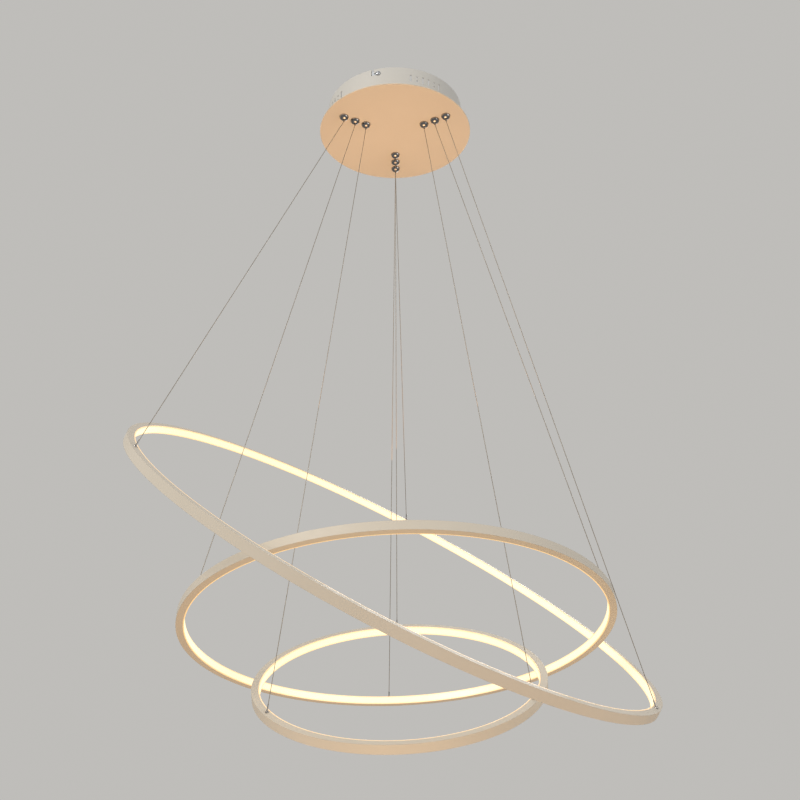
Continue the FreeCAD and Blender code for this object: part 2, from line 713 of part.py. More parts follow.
def terminal_block():
    body = box("block_body", "block_length", "block_width", "block_height",
               ("-block_length / 2", "-block_width / 2", "0"))
    tools = []
    for pole in (-1, 0, 1):
        across = pole * size("block_pole_step")
        start = Vector(across, -size("block_width / 2"), size("block_height * 0.35"))
        tools.append(rod(f"block_entry_{pole + 1}", "block_entry_diameter", "block_width",
                         start, Vector(0, 1, 0)))
        top = Vector(across, size("block_width / 4"), size("block_height * 0.35"))
        tools.append(rod(f"block_shaft_{pole + 1}", "block_screw_diameter", "block_height", top))
    block = cut("terminal_block", body, tools)
    block.Placement = Placement(UP * DISC_TOP, Rotation())
    return keep("terminal_block", block)


def earth_nut():
    washer = cut("earth_washer", rod("earth_washer_disc", "earth_washer_diameter",
                                     "earth_washer_thickness", Vector()),
                 [rod("earth_washer_hole", "earth_diameter + 2 * stud_clearance",
                      "earth_washer_thickness", Vector())])
    lift = UP * size("earth_washer_thickness")
    nut = cut("earth_nut_blank", hexagon("earth_nut_hexagon", "earth_nut_across",
                                         "earth_nut_height", lift),
              [rod("earth_nut_hole", "earth_diameter + 2 * stud_clearance",
                   "earth_nut_height", lift)])
    pair = together("earth_nut", [washer, nut])
    pair.Placement = Placement(earth_place(), Rotation())
    return keep("earth_nut", pair)


def supply_leads():
    """Two leads from each pole's wire entry over to the inner face of a driver."""
    leads = []
    entry = DISC_TOP + size("block_height * 0.35")
    landing = DISC_TOP + size("driver_height * 0.7")
    front = size("block_width / 2")
    inner_face = DRIVER_RADIUS - size("driver_width / 2")
    for place, pole in zip(driver_places(), (1, -1, 0)):
        outward = place.Rotation.multVec(Vector(1, 0, 0))
        sideways = place.Rotation.multVec(Vector(0, 1, 0))
        for side in (-1, 1):
            shift = sideways * (side * size("supply_lead_spread / 2"))
            across = pole * size("block_pole_step") + side * size("supply_lead_diameter * 0.53")
            bend = side * size("supply_lead_spread / 4")
            points = [
                Vector(across, -front, entry),
                Vector(across, pole * bend - 2.1 * front, entry),
            ]
            if pole:
                points.append(Vector(pole * size("block_length") * 0.85 - bend,
                                     pole * bend - 1.7 * front, (entry + landing) / 2))
            points.append(outward * (inner_face * 0.82) + shift + UP * landing)
            points.append(outward * inner_face + shift + UP * landing)
            leads.append(tube(points, size("supply_lead_diameter")))
    return keep("supply_leads", shaped("supply_leads", Part.makeCompound(leads)))


def output_leads():
    """One lead from each end of a driver to the wire end of its ring in the next row."""
    leads = []
    start_height = size("driver_height * 0.6")
    tail_side = size("grip_stem_height + tail_height / 2 - disc_thickness")
    end_face = size("driver_length / 2")
    clear = size("driver_ear + output_lead_diameter / 2")
    bend = size("output_lead_diameter * 9")
    for ring, place in zip(RINGS, driver_places()):
        back = place.inverse()
        for side in (-1, 1):
            spoke = about_z(side * TURN / 2 / size("driver_count")).multVec(place.Base)
            grip = Vector(spoke.x, spoke.y, 0).normalize() * grip_radius(ring) + UP * DISC_TOP
            local = back.multVec(grip)
            touch = size("wire_diameter / 2 + stud_clearance")
            points = [
                Vector(0, side * end_face, start_height),
                Vector(0, side * (end_face + clear), start_height),
                Vector(local.x + bend, local.y, tail_side),
                Vector(local.x + touch, local.y, tail_side),
            ]
            leads.append(tube([place.multVec(point) for point in points],
                              size("output_lead_diameter")))
    return keep("output_leads", shaped("output_leads", Part.makeCompound(leads)))


# ---- wire grips -----------------------------------------------------------------------


def grip_bodies():
    nib_hole = "(nib_diameter / 2 + nib_slack)"
    body = turned("grip_body", [
        (nib_hole, "-grip_dome_height"),
        ("grip_dome_diameter / 2", "0", "grip_dome_curve"),
        ("grip_stem_diameter / 2", "0"),
        ("grip_stem_diameter / 2", "grip_stem_height"),
        ("grip_cap_hole / 2", "grip_stem_height"),
        ("grip_cap_hole / 2", "grip_stem_height - grip_cap_thickness"),
        ("grip_chamber_diameter / 2", "grip_stem_height - grip_cap_thickness"),
        ("grip_chamber_diameter / 2", "taper_top"),
        ("taper_small_diameter / 2", "-taper_bottom"),
        (nib_hole, "-taper_bottom"),
    ])
    places = [Placement(place, Rotation()) for ring, row, place in GRIPS]
    keep("grip_bodies", copies("grip_bodies", body, places))
    blank = hexagon("grip_nut_blank", "grip_nut_across", "grip_nut_height", Vector())
    hole = rod("grip_nut_hole", "grip_stem_diameter + 2 * grip_stem_slack", "grip_nut_height",
               Vector())
    nut = cut("grip_nut", blank, [hole])
    lifted = [
        Placement(place + UP * size("disc_thickness"), about_z(ROW_AZIMUTHS[row]))
        for ring, row, place in GRIPS
    ]
    keep("grip_nuts", copies("grip_nuts", nut, lifted))


def plungers():
    """Nib, ball cage and spring collar in one piece, with its loose balls in their windows."""
    mouth = "-grip_dome_height - nib_reach"
    tube_body = turned("plunger_tube", [
        ("plunger_bore / 2", mouth),
        ("nib_diameter / 2", mouth),
        ("nib_diameter / 2", "cage_gap - taper_bottom"),
        ("cage_diameter / 2", "cage_gap - taper_bottom"),
        ("cage_diameter / 2", "cage_top"),
        ("collar_diameter / 2", "cage_top"),
        ("collar_diameter / 2", "cage_top + collar_height"),
        ("plunger_bore / 2", "cage_top + collar_height"),
    ])
    windows = []
    balls = []
    count = int(size("ball_count"))
    for index in range(count):
        azimuth = index * TURN / count
        level = UP * size("-ball_drop")
        windows.append(rod(f"ball_window_{index}", "ball_diameter + 2 * ball_gap",
                           "cage_diameter", level, polar(1, azimuth)))
        ball = bind(doc.addObject("Part::Sphere", f"ball_{index}"), Radius="ball_diameter / 2")
        reach = size("wire_diameter / 2 + ball_gap + ball_diameter / 2")
        ball.Placement = Placement(polar(reach, azimuth) + level, Rotation())
        balls.append(ball)
    plunger = together("plunger_set", [cut("plunger", tube_body, windows)] + balls)
    for ring, row, place in GRIPS:
        name = f"grip_plunger_{ring}_{SIDES[row]}"
        keep(name, copies(name, plunger, [Placement(place, about_z(ROW_AZIMUTHS[row]))]))


def springs():
    """Compression spring between the plunger's collar and the cap of the stem."""
    wire = size("spring_wire_diameter / 2")
    low = size("cage_top + collar_height + spring_end_gap") + wire
    high = size("grip_stem_height - grip_cap_thickness - spring_end_gap") - wire
    radius = size("spring_mean_diameter / 2")
    runs = int(size("spring_run_count"))
    count = runs * int(size("spring_turns"))
    line = [
        polar(radius, TURN * number / runs, low + (high - low) * number / count)
        for number in range(count + 1)
    ]
    section = Part.Wire(Part.Circle(line[0], line[1] - line[0], wire).toShape())
    mitred = 1
    coil = Part.makePolygon(line).makePipeShell([section], True, False, mitred)
    for ring, row, place in GRIPS:
        name = f"grip_spring_{ring}_{SIDES[row]}"
        obj = shaped(name, coil.copy(), Placement(place, Rotation()))
        keep(name, obj)


def wire_tails():
    """Vertical stretch of each suspension wire inside its grip, up to its cut end."""
    tail = rod("wire_tail", "wire_diameter",
               "grip_stem_height + tail_height + grip_dome_height + nib_reach", Vector())
    places = [
        Placement(place - UP * size("grip_dome_height + nib_reach"), Rotation())
        for ring, row, place in GRIPS
    ]
    return keep("wire_tails", copies("wire_tails", tail, places))


def wires():
    """Straight stretch of each suspension wire, from its nib down to its sleeve."""
    for ring, row, place in GRIPS:
        seat, mouth, direction = wire_ends(ring, row)
        low = seat + direction * size("ferrule_seat + ferrule_length")
        high = mouth - direction * size("wire_exit_gap")
        radius = size("wire_diameter / 2")
        name = f"wire_{ring}_{SIDES[row]}"
        shape = Part.makeCylinder(radius, (high - low).Length, Vector(), UP)
        keep(name, shaped(name, shape, Placement(low, Rotation(UP, direction))))
        print(f"{name}: {(high - low).Length:.1f} mm from nib to sleeve")


# ---- rings ----------------------------------------------------------------------------


def ring_channel(ring):
    """Channel of a ring, open towards the ring's centre, with a hole for each anchor."""
    outer = f"{ring}_diameter / 2"
    lip = f"{outer} - ring_width + diffuser_band"
    channel = turned(f"{ring}_channel_blank", [
        (lip, "-ring_height / 2"),
        (outer, "-ring_height / 2"),
        (outer, "ring_height / 2"),
        (lip, "ring_height / 2"),
        (lip, "ring_height / 2 - ring_wall"),
        (f"{outer} - ring_wall", "ring_height / 2 - ring_wall"),
        (f"{outer} - ring_wall", "ring_wall - ring_height / 2"),
        (lip, "ring_wall - ring_height / 2"),
    ])
    holes = [
        rod(f"{ring}_anchor_hole_{row}", "anchor_neck_diameter + 2 * anchor_neck_slack",
            "ring_wall", anchor_local(ring, row) - UP * size("ring_wall"))
        for row in range(len(ROW_AZIMUTHS))
    ]
    body = cut(f"{ring}_ring_channel", channel, holes)
    body.Placement = ring_place(ring)
    return keep(f"{ring}_ring_channel", body)


def ring_strip(ring):
    outer = f"{ring}_diameter / 2 - ring_wall - strip_gap"
    strip = turned(f"{ring}_light_strip", [
        (f"{outer} - strip_thickness", "-strip_height / 2"),
        (outer, "-strip_height / 2"),
        (outer, "strip_height / 2"),
        (f"{outer} - strip_thickness", "strip_height / 2"),
    ])
    strip.Placement = ring_place(ring)
    return keep(f"{ring}_light_strip", strip)


def ring_diffuser(ring):
    """Opal band across the channel's mouth, with a clip leg along each wall inside."""
    face = f"{ring}_diameter / 2 - ring_width"
    back = f"{face} + diffuser_band - diffuser_gap"
    tip = f"{back} + diffuser_leg"
    leg_out = "(ring_height / 2 - ring_wall - diffuser_gap)"
    leg_in = "(ring_height / 2 - ring_wall - diffuser_gap - diffuser_leg_thickness)"
    diffuser = turned(f"{ring}_diffuser", [
        (face, "-ring_height / 2"),
        (back, "-ring_height / 2"),
        (back, f"-{leg_out}"),
        (tip, f"-{leg_out}"),
        (tip, f"-{leg_in}"),
        (back, f"-{leg_in}"),
        (back, leg_in),
        (tip, leg_in),
        (tip, leg_out),
        (back, leg_out),
        (back, "ring_height / 2"),
        (face, "ring_height / 2"),
    ])
    diffuser.Placement = ring_place(ring)
    return keep(f"{ring}_diffuser", diffuser)


def ring_fittings(ring):
    """Domed anchors in the ring's top wall and the sleeves crimped on the wires' ends."""
    source = turned(f"{ring}_anchor_blank", [
        ("anchor_bore / 2", "-ring_wall - anchor_gap - anchor_nut_height"),
        ("anchor_nut_diameter / 2", "-ring_wall - anchor_gap - anchor_nut_height"),
        ("anchor_nut_diameter / 2", "-ring_wall - anchor_gap"),
        ("anchor_neck_diameter / 2", "-ring_wall - anchor_gap"),
        ("anchor_neck_diameter / 2", "anchor_gap"),
        ("anchor_diameter / 2", "anchor_gap"),
        ("anchor_bore / 2", "anchor_diameter / 2", "anchor_diameter / 2 + anchor_gap"),
    ])
    doc.recompute()
    anchors = []
    sleeves = []
    frame = ring_place(ring)
    hole_radius = size("ferrule_diameter / 2 + ferrule_gap")
    for row in range(len(ROW_AZIMUTHS)):
        seat, mouth, direction = wire_ends(ring, row)
        anchor = source.Shape.copy()
        anchor.Placement = Placement(seat, frame.Rotation)
        foot = seat + direction * size("ferrule_seat - ferrule_gap")
        hole = Part.makeCylinder(hole_radius, size("anchor_diameter"), foot, direction)
        anchors.append(anchor.cut(hole))
        low = seat + direction * size("ferrule_seat")
        sleeves.append(Part.makeCylinder(size("ferrule_diameter / 2"), size("ferrule_length"),
                                         low, direction))
    keep(f"{ring}_wire_anchors", shaped(f"{ring}_wire_anchors", Part.makeCompound(anchors)))
    keep(f"{ring}_wire_sleeves", shaped(f"{ring}_wire_sleeves", Part.makeCompound(sleeves)))


# ---- build, check and write -----------------------------------------------------------


def build():
    canopy_plate()
    canopy_drum()
    flange_nuts()
    ceiling_bracket()
    drum_screws()
    drivers()
    terminal_block()
    earth_nut()
    supply_leads()
    output_leads()
    grip_bodies()
    plungers()
    springs()
    wire_tails()
    wires()
    for ring in RINGS:
        ring_channel(ring)
        ring_strip(ring)
        ring_diffuser(ring)
        ring_fittings(ring)
    doc.recompute()


def check():
    doc.removeObject(probe.Name)
    for obj in doc.Objects:
        if "Invalid" in obj.State or "Error" in obj.State:
            raise RuntimeError(f"{obj.Name} failed: {obj.State}")
    for name, obj in nodes.items():
        if obj.Shape.isNull() or not obj.Shape.isValid() or not obj.Shape.Solids:
            raise RuntimeError(f"{name} is not a valid solid")


def write():
    os.makedirs("parts", exist_ok=True)
    for name, obj in nodes.items():
        obj.Shape.exportStep(os.path.join("parts", f"{name}.step"))
        print(f"{name}: {len(obj.Shape.Solids)} solids, {obj.Shape.Volume:.1f} mm3")


build()
check()
write()
print(f"{len(nodes)} nodes")
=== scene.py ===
import json
import math

import bmesh
import bpy
from mathutils import Matrix, Vector


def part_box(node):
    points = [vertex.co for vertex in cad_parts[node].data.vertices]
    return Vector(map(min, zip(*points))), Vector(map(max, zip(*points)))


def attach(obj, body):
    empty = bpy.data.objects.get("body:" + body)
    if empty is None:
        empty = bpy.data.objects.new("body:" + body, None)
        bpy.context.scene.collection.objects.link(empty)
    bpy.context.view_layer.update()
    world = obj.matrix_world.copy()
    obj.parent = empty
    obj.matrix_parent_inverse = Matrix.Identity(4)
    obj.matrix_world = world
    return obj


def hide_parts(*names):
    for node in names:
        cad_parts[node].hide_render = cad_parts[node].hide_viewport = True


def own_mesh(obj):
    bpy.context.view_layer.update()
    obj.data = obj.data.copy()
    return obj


# Looks for the pendant light of three tilted light rings. Metres, +Z up, the same frame as
# the CAD part: the origin is the middle of the ceiling bracket's face, at the ceiling.

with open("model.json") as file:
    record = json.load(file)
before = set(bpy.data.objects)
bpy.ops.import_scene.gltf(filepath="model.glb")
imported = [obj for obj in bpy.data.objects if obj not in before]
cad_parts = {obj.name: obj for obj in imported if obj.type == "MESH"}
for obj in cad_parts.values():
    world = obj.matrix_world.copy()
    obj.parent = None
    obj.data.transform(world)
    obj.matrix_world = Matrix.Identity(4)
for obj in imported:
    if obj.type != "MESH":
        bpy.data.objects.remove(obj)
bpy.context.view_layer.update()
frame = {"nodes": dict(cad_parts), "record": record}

# ---- camera of the photograph: metres, radians, and millimetres for lens and sensor -----

CAMERA_PLACE = Vector((0.0038, -1.2956, -1.0237))
CAMERA_PITCH = 0.3657
CAMERA_YAW = 0.0005
CAMERA_ROLL = -0.0085
CAMERA_LENS = 41.34
SENSOR_WIDTH = 36.0
NEAREST_VIEW = 0.01
FARTHEST_VIEW = 100

# ---- sizes repeated from the part: metres, and degrees for angles -----------------------

# Each ring: outside diameter, centre, tilt, azimuths of its high side and of its wire
# anchors, distance of its grips from the canopy's axis, and reach of its lift.
RINGS = {
    "large": {
        "diameter": 0.8, "centre": (-0.006, -0.0155, -0.7674), "tilt": 34.3, "high": 144.8,
        "anchors": (92.4, 212.5, 340.5), "grip": 0.0968, "lift": 0.3,
    },
    "medium": {
        "diameter": 0.6, "centre": (-0.0018, 0.0074, -0.8663), "tilt": 15.7, "high": 276.5,
        "anchors": (93.3, 213.3, 333.3), "grip": 0.0764, "lift": 0.24,
    },
    "small": {
        "diameter": 0.4, "centre": (0.0006, 0.0111, -0.9314), "tilt": 26.8, "high": 85.6,
        "anchors": (90.6, 210.6, 330.6), "grip": 0.056, "lift": 0.25,
    },
}
# Azimuth of each row of grips.
SIDES = {"far": 90, "left": 210, "right": 330}
RING_WIDTH = 0.011
RING_HEIGHT = 0.012
# Height at which the wires come out of their grips.
MOUTH_HEIGHT = -0.0545
WIRE_DIAMETER = 0.001
# From a wire's seat on its ring to the top of its sleeve.
SLEEVE_TOP = 0.0095
# Height of the circuit boards' upper faces.
BOARD_TOP = -0.0369
# Plunger spring, its radius to the middle of its wire.
SPRING_RADIUS = 0.0024
SPRING_WIRE = 0.0005
SPRING_TURNS = 5

# ---- detail of the wires and springs ----------------------------------------------------

STRANDS = 6
# Radius between two strands, as a share of the wire's own.
GROOVE = 0.86
# Length in which the strands turn once round the wire.
LAY_LENGTH = 0.012
SECTIONS_PER_LAY = 8
ROUTE_SHARES = (0, 0.25, 0.5, 0.75, 1)
SECTIONS_PER_TURN = 24
SPRING_CORNERS = 10

# ---- colours: linear red, green and blue ------------------------------------------------

# Pairs hold the pale and the shaded colour of a finish.
# Cream paint of the canopy's disc and of the rings; its warm tint is partly painted glow of
# the rings' light.
GLOW_TINTED_PAINT = ((0.80, 0.71, 0.58), (0.77, 0.68, 0.55))
# The same paint on the canopy's wall, cooler because it lacks the painted warm glow.
WALL_PAINT = ((0.76, 0.72, 0.65), (0.73, 0.69, 0.62))
OPAL = ((0.80, 0.75, 0.63), (0.76, 0.71, 0.59))
WIRE_STEEL = ((0.34, 0.29, 0.23), (0.28, 0.24, 0.19))
BRACKET_ZINC = ((0.62, 0.64, 0.67), (0.50, 0.52, 0.55))
STRIP_WHITE = ((0.86, 0.85, 0.81), (0.80, 0.79, 0.74))
BOARD_PARTS = ((0.12, 0.10, 0.07), (0.03, 0.03, 0.035))
PLATED = {
    # Grip plating: its dark colour partly paints dark reflections of dim surroundings onto
    # the chrome.
    "grip_chrome": {
        "colours": ((0.38, 0.36, 0.34), (0.31, 0.29, 0.28)), "roughness": (0.06, 0.16),
    },
    "spring_steel": {
        "colours": ((0.55, 0.55, 0.57), (0.45, 0.45, 0.47)), "roughness": (0.2, 0.35),
    },
    "zinc_fixings": {
        "colours": ((0.66, 0.67, 0.70), (0.55, 0.57, 0.60)), "roughness": (0.22, 0.4),
    },
    "brass_fixings": {
        "colours": ((0.78, 0.58, 0.25), (0.66, 0.47, 0.18)), "roughness": (0.2, 0.35),
    },
}
MOULDED = {
    "driver_plastic": {
        "colours": ((0.80, 0.80, 0.78), (0.74, 0.74, 0.72)), "roughness": (0.5, 0.65),
    },
    "terminal_plastic": {
        "colours": ((0.82, 0.80, 0.72), (0.76, 0.74, 0.66)), "roughness": (0.3, 0.45),
    },
    "supply_insulation": {
        "colours": ((0.10, 0.06, 0.04), (0.06, 0.04, 0.03)), "roughness": (0.3, 0.45),
    },
    "output_insulation": {
        "colours": ((0.45, 0.03, 0.02), (0.34, 0.02, 0.02)), "roughness": (0.3, 0.45),
    },
}
BOARD_COLOUR = (0.02, 0.16, 0.06)
TRACK_COLOUR = (0.06, 0.30, 0.12)
CHIP_COLOUR = (0.85, 0.62, 0.12)
GLOW_COLOUR = (1.0, 0.78, 0.40)
GLOW_EDGE_COLOUR = (0.62, 0.34, 0.08)

# ---- finishes: scales in features per metre, depths, edges and lengths in metres --------

WHOLE = (0, 1)
# Values that most of a noise lies between.
NOISE_SPAN = (0.3, 0.7)
NOISE_DETAIL = 3.0
SOFT_DETAIL = 2.0
# Colour sockets of a mix node.
MIX_COLOURS = (6, 7)
MIX_RESULT = 2

PAINT_SHINE = 0.4
PAINT_CLOUD_SCALE = 9.0
PAINT_GLOSS_SCALE = 60.0
PAINT_ROUGHNESS = (0.42, 0.56)
PEEL_SCALE = 900.0
COARSE_PEEL_SCALE = 320.0
COARSE_PEEL_SHARE = 0.7
PEEL_DEPTH = 0.000005
PEEL_STRENGTH = 0.5
PAINT_EDGE = 0.0005

OPAL_ROUGHNESS = 0.38
OPAL_SCATTER = 0.1
OPAL_SCATTER_DEPTH = 0.002
OPAL_CLOUD_SCALE = 35.0
OPAL_GRAIN_SCALE = 900.0
OPAL_GRAIN = 0.000008
OPAL_STRENGTH = 0.4
OPAL_EDGE = 0.0004
GLOW_STRENGTH = 1.0
# Half the height over which the glow keeps its full colour.
GLOW_CORE_HALF = 0.0034

PLATE_METAL = 1.0
PLATE_CLOUD_SCALE = 140.0
SMEAR_SCALE = 320.0
SMEAR_DETAIL = 5.0
PLATE_GRAIN_SCALE = 2400.0
PLATE_GRAIN = 0.000008
PLATE_STRENGTH = 0.5
PLATE_EDGE = 0.00025

WIRE_METAL = 0.85
SHEATH_WEIGHT = 0.35
SHEATH_ROUGHNESS = 0.15
WIRE_CLOUD_SCALE = 700.0
WIRE_GLOSS_SCALE = 600.0
WIRE_ROUGHNESS = (0.35, 0.5)
WIRE_GRAIN_SCALE = 2600.0
WIRE_GRAIN = 0.000004
WIRE_STRENGTH = 0.4

ZINC_METAL = 0.9
CRYSTAL_SCALE = 260.0
ZINC_ROUGHNESS = (0.3, 0.5)
ZINC_GRAIN_SCALE = 1100.0
ZINC_GRAIN = 0.00002
ZINC_STRENGTH = 0.5
ZINC_EDGE = 0.0003

PLASTIC_SHINE = 0.35
PLASTIC_CLOUD_SCALE = 45.0
PLASTIC_GLOSS_SCALE = 260.0
PLASTIC_GRAIN_SCALE = 2600.0
PLASTIC_GRAIN = 0.00003
PLASTIC_STRENGTH = 0.6
PLASTIC_EDGE = 0.0004

TRACK_SCALE = 330.0
TRACK_DETAIL = 0.0
TRACK_SPAN = (0.48, 0.52)
TRACK_DEPTH = 0.00004
TRACK_STRENGTH = 0.5
BOARD_PARTS_SCALE = 90.0
# Height over which the board's colours give way to those of its parts.
BOARD_FADE = 0.0001
BOARD_GLOSS_SCALE = 200.0
BOARD_ROUGHNESS = (0.3, 0.5)
BOARD_EDGE = 0.0003

STRIP_ROUGHNESS = 0.45
STRIP_CLOUD_SCALE = 120.0
# Length of strip for each light chip, and the chip's share of it.
CHIP_PITCH = 0.0083
CHIP_SHARE = 0.42
CHIP_HALF_HEIGHT = 0.0014
CHIP_DEPTH = 0.0003
CHIP_STRENGTH = 0.6

# ---- floor, background and lamps: metres and watts --------------------------------------

FLOOR_HEIGHT = -2.4
FLOOR_HALF = 14.0
FLOOR_CELLS = 8
FLOOR_ROUGHNESS = 0.8
FLOOR_SHINE = 0.2
FLOOR_CLOUD_SCALE = 1.5
BACKGROUND = (0.52, 0.51, 0.49)
# How much paler the floor's clouds are than the background.
FLOOR_GAIN = 1.03
FLOOR_PALE = tuple(FLOOR_GAIN * part for part in BACKGROUND)
BACKGROUND_STRENGTH = 1.0
WORLD_LIGHT = 0.36
WARM_WHITE = (1.0, 0.98, 0.95)
COOL_WHITE = (0.95, 0.97, 1.0)
LAMPS = {
    "key": {
        "place": (-1.8, -2.2, 0.7), "aim": (0, 0, -0.7), "size": 1.6, "power": 45,
        "colour": WARM_WHITE,
    },
    "fill": {
        "place": (2.2, -1.4, -0.4), "aim": (0, 0, -0.7), "size": 1.8, "power": 16,
        "colour": COOL_WHITE,
    },
    "back": {
        "place": (0.6, 2.4, 0.3), "aim": (0, 0, -0.8), "size": 1.4, "power": 18,
        "colour": WARM_WHITE,
    },
    "canopy_glow": {
        "place": (0, 0, -0.56), "aim": (0, 0, 0), "size": 0.4, "power": 1.5,
        "colour": (1.0, 0.58, 0.29),
    },
    "ring_glow": {
        "place": (0, -0.3, -1.75), "aim": (0, 0, -0.8), "size": 1.0, "power": 4.2,
        "colour": (1.0, 0.62, 0.28),
    },
}


def make_camera():
    """Camera where the photograph was taken from."""
    forward = Vector((
        math.sin(CAMERA_YAW) * math.cos(CAMERA_PITCH),
        math.cos(CAMERA_YAW) * math.cos(CAMERA_PITCH),
        math.sin(CAMERA_PITCH),
    ))
    level = Vector((math.cos(CAMERA_YAW), -math.sin(CAMERA_YAW), 0))
    upward = level.cross(forward)
    right = math.cos(CAMERA_ROLL) * level + math.sin(CAMERA_ROLL) * upward
    top = -math.sin(CAMERA_ROLL) * level + math.cos(CAMERA_ROLL) * upward
    turn = Matrix((right, top, -forward)).transposed().to_4x4()
    data = bpy.data.cameras.new("camera")
    data.lens = CAMERA_LENS
    data.sensor_width = SENSOR_WIDTH
    data.clip_start = NEAREST_VIEW
    data.clip_end = FARTHEST_VIEW
    camera = bpy.data.objects.new("camera", data)
    camera.matrix_world = Matrix.Translation(CAMERA_PLACE) @ turn
    bpy.context.scene.collection.objects.link(camera)
    bpy.context.scene.camera = camera


def polar(radius, azimuth, height):
    """Point at a distance from the vertical axis, an azimuth in degrees and a height."""
    angle = math.radians(azimuth)
    return Vector((radius * math.cos(angle), radius * math.sin(angle), height))


def ring_turn(ring):
    """Turn that tilts a level ring up towards its high side."""
    high = math.radians(ring["high"])
    axis = Vector((math.sin(high), -math.cos(high), 0))
    return Matrix.Rotation(math.radians(ring["tilt"]), 3, axis)


# ---- materials -------------------------------------------------------------------------


class Finish:
    """Node material with small helpers for procedural detail in object coordinates."""

    def __init__(self, name, **constants):
        self.material = bpy.data.materials.new(name)
        self.material.use_nodes = True
        self.nodes = self.material.node_tree.nodes
        self.links = self.material.node_tree.links
        self.shader = self.nodes["Principled BSDF"]
        for socket, value in constants.items():
            self.shader.inputs[socket.replace("_", " ")].default_value = value
        self.place = self.nodes.new("ShaderNodeTexCoord").outputs["Object"]

    def noise(self, scale, detail=NOISE_DETAIL):
        node = self.nodes.new("ShaderNodeTexNoise")
        node.inputs["Scale"].default_value = scale
        node.inputs["Detail"].default_value = detail
        self.links.new(self.place, node.inputs["Vector"])
        return node.outputs["Fac"]

    def cells(self, scale):
        node = self.nodes.new("ShaderNodeTexVoronoi")
        node.inputs["Scale"].default_value = scale
        self.links.new(self.place, node.inputs["Vector"])
        return node.outputs["Color"]

    def remap(self, value, wanted, given=NOISE_SPAN):
        """Value moved from the given span to the wanted one, and held inside it."""
        node = self.nodes.new("ShaderNodeMapRange")
        for socket, number in zip(("From Min", "From Max", "To Min", "To Max"),
                                  (*given, *wanted)):
            node.inputs[socket].default_value = number
        self.links.new(value, node.inputs["Value"])
        return node.outputs["Result"]

    def blend(self, share, first, second):
        """Colour that is the first where share is 0 and the second where it is 1."""
        node = self.nodes.new("ShaderNodeMix")
        node.data_type = "RGBA"
        self.links.new(share, node.inputs["Factor"])
        for index, colour in zip(MIX_COLOURS, (first, second)):
            if isinstance(colour, tuple):
                node.inputs[index].default_value = (*colour, 1)
            else:
                self.links.new(colour, node.inputs[index])
        return node.outputs[MIX_RESULT]

    def clouded(self, scale, colours):
        """Colour that drifts between the pale and the shaded one of a pair."""
        pale, shade = colours
        return self.blend(self.remap(self.noise(scale), WHOLE), shade, pale)

    def calculate(self, operation, first, second=0):
        node = self.nodes.new("ShaderNodeMath")
        node.operation = operation
        for socket, value in zip(node.inputs, (first, second)):
            if isinstance(value, (int, float)):
                socket.default_value = value
            else:
                self.links.new(value, socket)
        return node.outputs[0]

    def dot(self, direction, offset=(0, 0, 0)):
        """Distance of a point from offset along a direction."""
        shift = self.nodes.new("ShaderNodeVectorMath")
        shift.operation = "SUBTRACT"
        self.links.new(self.place, shift.inputs[0])
        shift.inputs[1].default_value = offset
        node = self.nodes.new("ShaderNodeVectorMath")
        node.operation = "DOT_PRODUCT"
        self.links.new(shift.outputs[0], node.inputs[0])
        node.inputs[1].default_value = direction
        return node.outputs["Value"]

    def colour(self, value):
        self.links.new(value, self.shader.inputs["Base Color"])

    def rough(self, value):
        self.links.new(value, self.shader.inputs["Roughness"])

    def uneven(self, scale, roughness, detail=NOISE_DETAIL):
        """Roughness that drifts over a span."""
        self.rough(self.remap(self.noise(scale, detail), roughness))

    def bump(self, height, depth, strength, edge=0.0):
        """Relief of a height, over edges that a bevel of radius edge softens."""
        node = self.nodes.new("ShaderNodeBump")
        node.inputs["Strength"].default_value = strength
        node.inputs["Distance"].default_value = depth
        self.links.new(height, node.inputs["Height"])
        if edge:
            bevel = self.nodes.new("ShaderNodeBevel")
            bevel.inputs["Radius"].default_value = edge
            self.links.new(bevel.outputs["Normal"], node.inputs["Normal"])
        self.links.new(node.outputs["Normal"], self.shader.inputs["Normal"])


def powder_coat(name, colours):
    """Matt sprayed paint: fine orange peel, faint cloudiness and soft edges."""
    finish = Finish(name, Specular_IOR_Level=PAINT_SHINE)
    finish.colour(finish.clouded(PAINT_CLOUD_SCALE, colours))
    finish.uneven(PAINT_GLOSS_SCALE, PAINT_ROUGHNESS)
    coarse = finish.calculate("MULTIPLY", finish.noise(COARSE_PEEL_SCALE, SOFT_DETAIL),
                              COARSE_PEEL_SHARE)
    peel = finish.calculate("ADD", finish.noise(PEEL_SCALE, SOFT_DETAIL), coarse)
    finish.bump(peel, PEEL_DEPTH, PEEL_STRENGTH, PAINT_EDGE)
    return finish.material


def opal(name, ring):
    """Satin opal plastic lit from behind, deeper in colour towards its two edges."""
    finish = Finish(name, Roughness=OPAL_ROUGHNESS, Emission_Strength=GLOW_STRENGTH,
                    Subsurface_Weight=OPAL_SCATTER, Subsurface_Scale=OPAL_SCATTER_DEPTH)
    finish.colour(finish.clouded(OPAL_CLOUD_SCALE, OPAL))
    up = finish.dot(ring_turn(ring).col[2], ring["centre"])
    edge = finish.remap(finish.calculate("ABSOLUTE", up), WHOLE,
                        (GLOW_CORE_HALF, RING_HEIGHT / 2))
    glow = finish.blend(edge, GLOW_COLOUR, GLOW_EDGE_COLOUR)
    finish.links.new(glow, finish.shader.inputs["Emission Color"])
    finish.bump(finish.noise(OPAL_GRAIN_SCALE, SOFT_DETAIL), OPAL_GRAIN, OPAL_STRENGTH,
                OPAL_EDGE)
    return finish.material


def polished(name, colours, roughness):
    """Plated metal with faint smears and a fine grain."""
    finish = Finish(name, Metallic=PLATE_METAL)
    finish.colour(finish.clouded(PLATE_CLOUD_SCALE, colours))
    finish.uneven(SMEAR_SCALE, roughness, SMEAR_DETAIL)
    finish.bump(finish.noise(PLATE_GRAIN_SCALE, SOFT_DETAIL), PLATE_GRAIN, PLATE_STRENGTH,
                PLATE_EDGE)
    return finish.material


